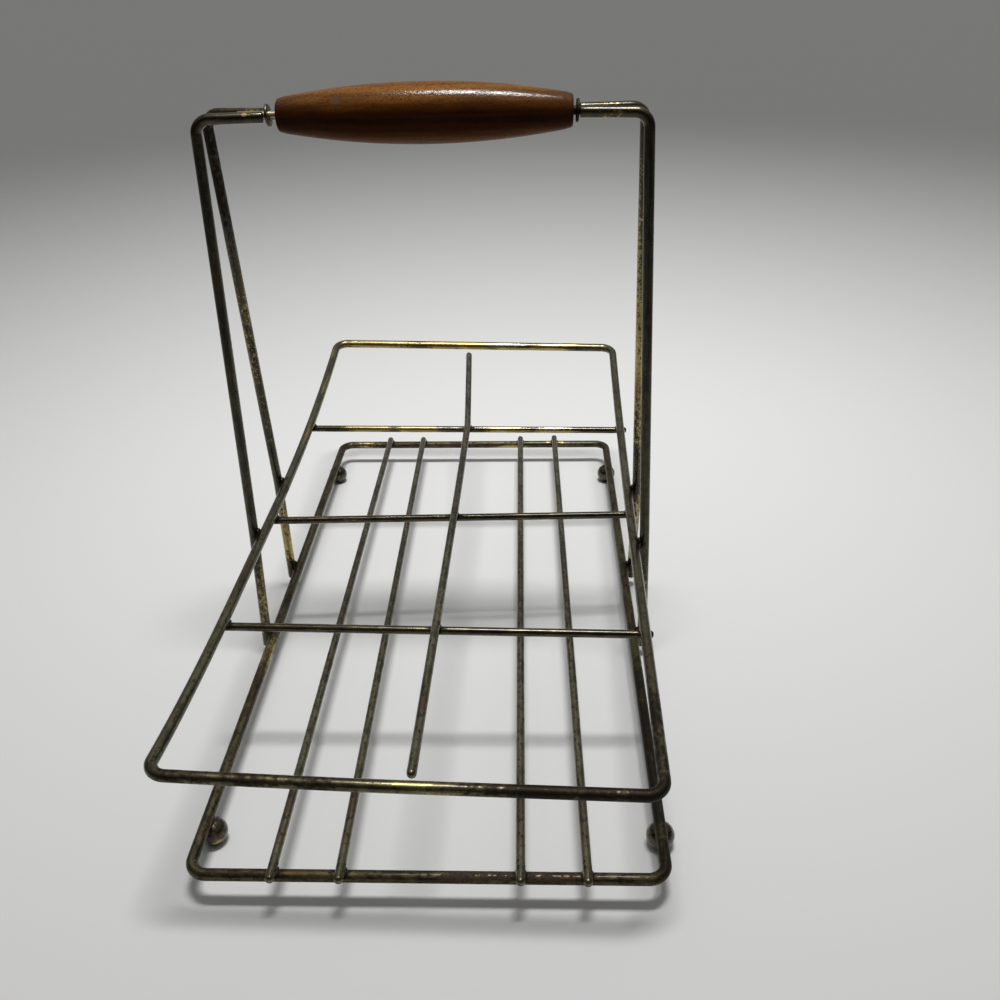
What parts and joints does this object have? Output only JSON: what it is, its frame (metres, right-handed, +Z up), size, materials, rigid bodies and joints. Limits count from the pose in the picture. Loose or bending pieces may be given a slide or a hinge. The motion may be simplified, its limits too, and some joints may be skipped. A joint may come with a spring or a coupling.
{
  "type": "glass carrier",
  "caption": "Open wire carrier with welded cells for drinking glasses, a bail handle welded to both loops and a turned wooden grip that spins freely.",
  "frame": {"origin": "on the ground plane that the ball feet stand on, midway between the outermost points of the legs in X and of the upper rail in Y", "axes": "+Z up, +X to the right along the grip, +Y from the front of the carrier to its back"},
  "size_m": [0.1648, 0.3105, 0.2256],
  "materials": {
    "heavy_wire": "worn brass plate on steel wire, dark olive-brown patina, rust-brown low down",
    "light_wire": "worn brass plate on steel wire, dark patina with pale gold highlights, burnt black at the welds",
    "bright_brass": "satin, rubbed bright",
    "foot_brass": "dull, tarnished",
    "grip_wood": "turned hardwood, reddish-brown stain, glossy lacquer"
  },
  "bodies": {
    "carrier_frame": {"base_loop": "heavy_wire", "top_rail": "heavy_wire", "floor_wire_left_outer": "light_wire", "floor_wire_left_inner": "light_wire", "floor_wire_right_inner": "light_wire", "floor_wire_right_outer": "light_wire", "cross_wire_front": "light_wire", "cross_wire_middle": "light_wire", "cross_wire_back": "light_wire", "centre_divider": "light_wire", "bail_leg_front_left": "heavy_wire", "bail_leg_back_left": "heavy_wire", "bail_leg_front_right": "heavy_wire", "bail_leg_back_right": "heavy_wire", "grip_rod": "bright_brass", "ball_foot_front_left": "foot_brass", "ball_foot_back_left": "foot_brass", "ball_foot_front_right": "foot_brass", "ball_foot_back_right": "foot_brass"},
    "grip": {"wooden_grip": "grip_wood"},
    "left_washer": {"washer_left": "bright_brass"},
    "right_washer": {"washer_right": "bright_brass"}
  },
  "joints": [
    {"name": "grip_spin", "type": "hinge", "parent": "carrier_frame", "child": "grip", "pos_m": [-0.0022, 0, 0.2155], "axis": [1, 0, 0], "continuous": true},
    {"name": "left_washer_spin", "type": "hinge", "parent": "carrier_frame", "child": "left_washer", "pos_m": [-0.0565, 0, 0.2155], "axis": [1, 0, 0], "continuous": true},
    {"name": "right_washer_spin", "type": "hinge", "parent": "carrier_frame", "child": "right_washer", "pos_m": [0.0501, 0, 0.2155], "axis": [1, 0, 0], "continuous": true}
  ]
}
